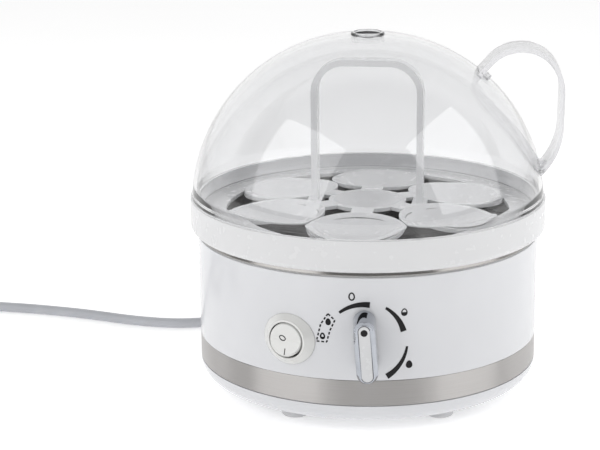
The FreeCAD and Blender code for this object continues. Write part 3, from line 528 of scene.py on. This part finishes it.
# Dash, gap and line width of the field's edge.
FIELD_DASH = (1.4, 0.8, 0.75)
SHORTEST_DASH = 0.05


def arc_faces(radius, first, last, thin, thick):
    """Arc that grows from thin to thick round a slightly tall oval, clockwise from the top."""
    ring = []
    for i in range(ARC_STEPS + 1):
        share = i / ARC_STEPS
        angle = math.radians(first + (last - first) * share)
        inner = radius - (thin + (thick - thin) * share)
        across, up = math.sin(angle), math.cos(angle) * ARC_RISE
        ring.append([(r * across, r * up - ARC_DROP) for r in (inner, radius)])
    return [(a[0], a[1], b[1], b[0]) for a, b in zip(ring, ring[1:])]


def egg_point(share, width, height, lean=0.0, narrowing=EGG_NARROWING):
    """Point on an egg's outline, narrow end up, turned clockwise by lean degrees."""
    angle = 2 * math.pi * share
    x = math.sin(angle) * width / 2 * (1 - narrowing * math.cos(angle))
    z = math.cos(angle) * height / 2
    turn = math.radians(lean)
    return x * math.cos(turn) + z * math.sin(turn), z * math.cos(turn) - x * math.sin(turn)


def egg_faces(x, z, width, height, level=None):
    """Filled egg, or only the part below a level measured from its centre."""
    outline = []
    for i in range(EGG_STEPS):
        px, pz = egg_point(i / EGG_STEPS, width, height)
        outline.append((x + px, z + (pz if level is None else min(pz, level))))
    return [outline]


def egg_ring_faces(x, z, width, height, stroke, lean=0.0, narrowing=EGG_NARROWING):
    """Outline of an egg, or of an ellipse when the narrowing is 0."""
    outer = (width, height, lean, narrowing)
    inner = (width - 2 * stroke, height - 2 * stroke, lean, narrowing)
    faces = []
    for i in range(EGG_STEPS):
        here, there = i / EGG_STEPS, (i + 1) / EGG_STEPS
        corners = (
            egg_point(here, *outer),
            egg_point(there, *outer),
            egg_point(there, *inner),
            egg_point(here, *inner),
        )
        faces.append([(x + px, z + pz) for px, pz in corners])
    return faces


def dash_faces(points, dash, gap, width):
    """Dashes along a closed path of straight legs."""
    faces = []
    travelled = 0.0
    for (ax, az), (bx, bz) in zip(points, points[1:] + points[:1]):
        leg = math.hypot(bx - ax, bz - az)
        ux, uz = (bx - ax) / leg, (bz - az) / leg
        at = 0.0
        while at < leg:
            phase = travelled % (dash + gap)
            if phase < dash:
                end = min(leg, at + dash - phase)
                nx, nz = -uz * width / 2, ux * width / 2
                sx, sz = ax + ux * at, az + uz * at
                ex, ez = ax + ux * end, az + uz * end
                if end - at > SHORTEST_DASH:
                    near = [(sx + nx, sz + nz), (sx - nx, sz - nz)]
                    faces.append([*near, (ex - nx, ez - nz), (ex + nx, ez + nz)])
                step = end - at
            else:
                step = min(leg - at, dash + gap - phase)
            at += step + 1e-9
            travelled += step + 1e-9
    return faces


X = Vector((1, 0, 0))
Y = Vector((0, 1, 0))
Z = Vector((0, 0, 1))


def scale_marks():
    """The dial round the knob: three swelling arcs, four eggs and a dashed field."""
    start = Vector((DIAL_X, -WALL_R, DIAL_Z)) * MM
    arcs = []
    for arc in DIAL_ARCS:
        arcs += arc_faces(ARC_R, *arc)
    mark("dial_arcs", "base", "housing_shell", arcs, X, Z, start, -Y)
    eggs = egg_ring_faces(-6.9, 22.7, 3.2, 4.2, 0.7, narrowing=0.08)
    eggs += egg_ring_faces(18.0, 14.6, 3.1, 3.8, 0.6)
    eggs += egg_faces(18.0, 14.6, 2.9, 3.6, level=0.0)
    eggs += egg_faces(20.4, -11.7, 3.1, 3.9)
    eggs += egg_faces(-18.1, 9.6, 2.6, 3.5)
    eggs += egg_ring_faces(-20.8, 2.3, 2.6, 3.4, 0.8)
    eggs += egg_faces(-20.8, 2.3, 2.5, 3.2, level=-0.4)
    mark("dial_eggs", "base", "housing_shell", eggs, X, Z, start, -Y)
    dashes = dash_faces(FIELD_CORNERS, *FIELD_DASH)
    mark("dial_field", "base", "housing_shell", dashes, X, Z, start, -Y)


# Length, width and stroke of the dark line painted as the shade in the groove round the knob's insert, and
# the steps in each of its round ends.
GROOVE_SHADE = (27.2, 5.2, 0.4)
GROOVE_SHADE_STEPS = 12


def bar_ring_faces(length, width, stroke):
    """Outline of an upright bar with round ends."""
    half = (length - width) / 2
    reaches = (width / 2, width / 2 + stroke)
    rings = []
    for i in range(2 * GROOVE_SHADE_STEPS + 2):
        upper = i <= GROOVE_SHADE_STEPS
        angle = math.pi * (i if upper else i - 1) / GROOVE_SHADE_STEPS
        level = half if upper else -half
        rings.append([(r * math.cos(angle), level + r * math.sin(angle)) for r in reaches])
    return [(a[0], a[1], b[1], b[0]) for a, b in zip(rings, rings[1:] + rings[:1])]


def facing(azimuth):
    """The way out of the wall at an azimuth, and the way along it."""
    outward = Vector((math.cos(azimuth), math.sin(azimuth), 0))
    return outward, Vector((-outward.y, outward.x, 0))


def knob_groove_shade():
    """Dark grey line round the knob's white insert: painted shade for the groove there."""
    outward, along = facing(KNOB_AZIMUTH)
    lean = Matrix.Rotation(KNOB_LEAN, 3, outward)
    start = (outward * KNOB_R + Z * KNOB_HEIGHT) * MM
    faces = bar_ring_faces(*GROOVE_SHADE)
    mark("knob_groove_shade", "knob", "knob_body", faces, lean @ along, lean @ Z, start, outward, "groove_shade_grey")


def switch_marks():
    """The ring and the stroke on the rocker."""
    outward, along = facing(SWITCH_AZIMUTH)
    start = (outward * SWITCH_R + Z * SWITCH_HEIGHT) * MM
    faces = egg_ring_faces(-1.55, 1.1, 3.7, 2.7, 0.5, 20.0, narrowing=0.0)
    faces += [[(0.2, -6.5), (0.65, -6.5), (0.65, -3.6), (0.2, -3.6)]]
    mark("switch_marks", "rocker", "switch_rocker", faces, along, Z, start, outward)


scale_marks()
knob_groove_shade()
switch_marks()

# --- Floor and light ----------------------------------------------------------------

FLOOR_GLOW = 0.34
FLOOR_HALF = 6.0
FLOOR_LEVEL = -0.0002

# Two equal softboxes, in metres, degrees and watts.
BOX_SIZE = (1.4, 1.46)
BOX_DISTANCE = 1.5
BOX_ELEVATION = 28
BOX_POWER = 11
BOX_TARGET = (0, 0, 0.11)


def make_floor():
    mesh = bpy.data.meshes.new("floor")
    corners = ((-1, -1), (1, -1), (1, 1), (-1, 1))
    vertices = [(x * FLOOR_HALF, y * FLOOR_HALF, FLOOR_LEVEL) for x, y in corners]
    mesh.from_pydata(vertices, [], [(0, 1, 2, 3)])
    floor = bpy.data.objects.new("floor", mesh)
    bpy.context.scene.collection.objects.link(floor)
    s = Surface("floor_paper", Specular_IOR_Level=0.0, Emission_Strength=FLOOR_GLOW)
    s.shader.inputs["Emission Color"].default_value = (1.0, 1.0, 1.0, 1.0)
    s.colour(s.noise(3.0), (0.93, 0.93, 0.93), (0.95, 0.95, 0.95))
    s.rough(s.noise(40.0), 0.6, 0.8)
    mesh.materials.append(s.material)


def softbox(name, azimuth):
    """Rectangular lamp that faces the object, from an azimuth where 0 is the front."""
    light = bpy.data.lights.new(name, "AREA")
    light.shape = "RECTANGLE"
    light.size, light.size_y = BOX_SIZE
    light.energy = BOX_POWER
    lamp = bpy.data.objects.new(name, light)
    a, e = math.radians(azimuth), math.radians(BOX_ELEVATION)
    away = Vector((math.sin(a) * math.cos(e), -math.cos(a) * math.cos(e), math.sin(e)))
    lamp.location = Vector(BOX_TARGET) + away * BOX_DISTANCE
    lamp.rotation_mode = "QUATERNION"
    lamp.rotation_quaternion = away.to_track_quat("Z", "Y")
    lamp.visible_camera = False
    bpy.context.scene.collection.objects.link(lamp)


# World light in front of the object and behind it, and where one turns into the other.
ROOM_LIGHT = 0.28
BACKDROP_LIGHT = 1.05
BACKDROP_EDGE = (0.1, 0.4)


def make_world():
    """A dim room with a bright backdrop on the far side of the object."""
    world = bpy.data.worlds.new("studio")
    bpy.context.scene.world = world
    world.use_nodes = True
    tree = world.node_tree
    background = tree.nodes["Background"]
    background.inputs["Color"].default_value = (1.0, 1.0, 1.0, 1.0)
    where = tree.nodes.new("ShaderNodeTexCoord")
    parts = tree.nodes.new("ShaderNodeSeparateXYZ")
    ramp = tree.nodes.new("ShaderNodeMapRange")
    ramp.interpolation_type = "SMOOTHSTEP"
    ramp.inputs["From Min"].default_value = BACKDROP_EDGE[0]
    ramp.inputs["From Max"].default_value = BACKDROP_EDGE[1]
    ramp.inputs["To Min"].default_value = ROOM_LIGHT
    ramp.inputs["To Max"].default_value = BACKDROP_LIGHT
    tree.links.new(where.outputs["Generated"], parts.inputs[0])
    tree.links.new(parts.outputs["Y"], ramp.inputs["Value"])
    tree.links.new(ramp.outputs["Result"], background.inputs["Strength"])


make_floor()
make_world()
softbox("left_box", -55)
softbox("right_box", 70)
bpy.context.scene.view_settings.view_transform = "Standard"
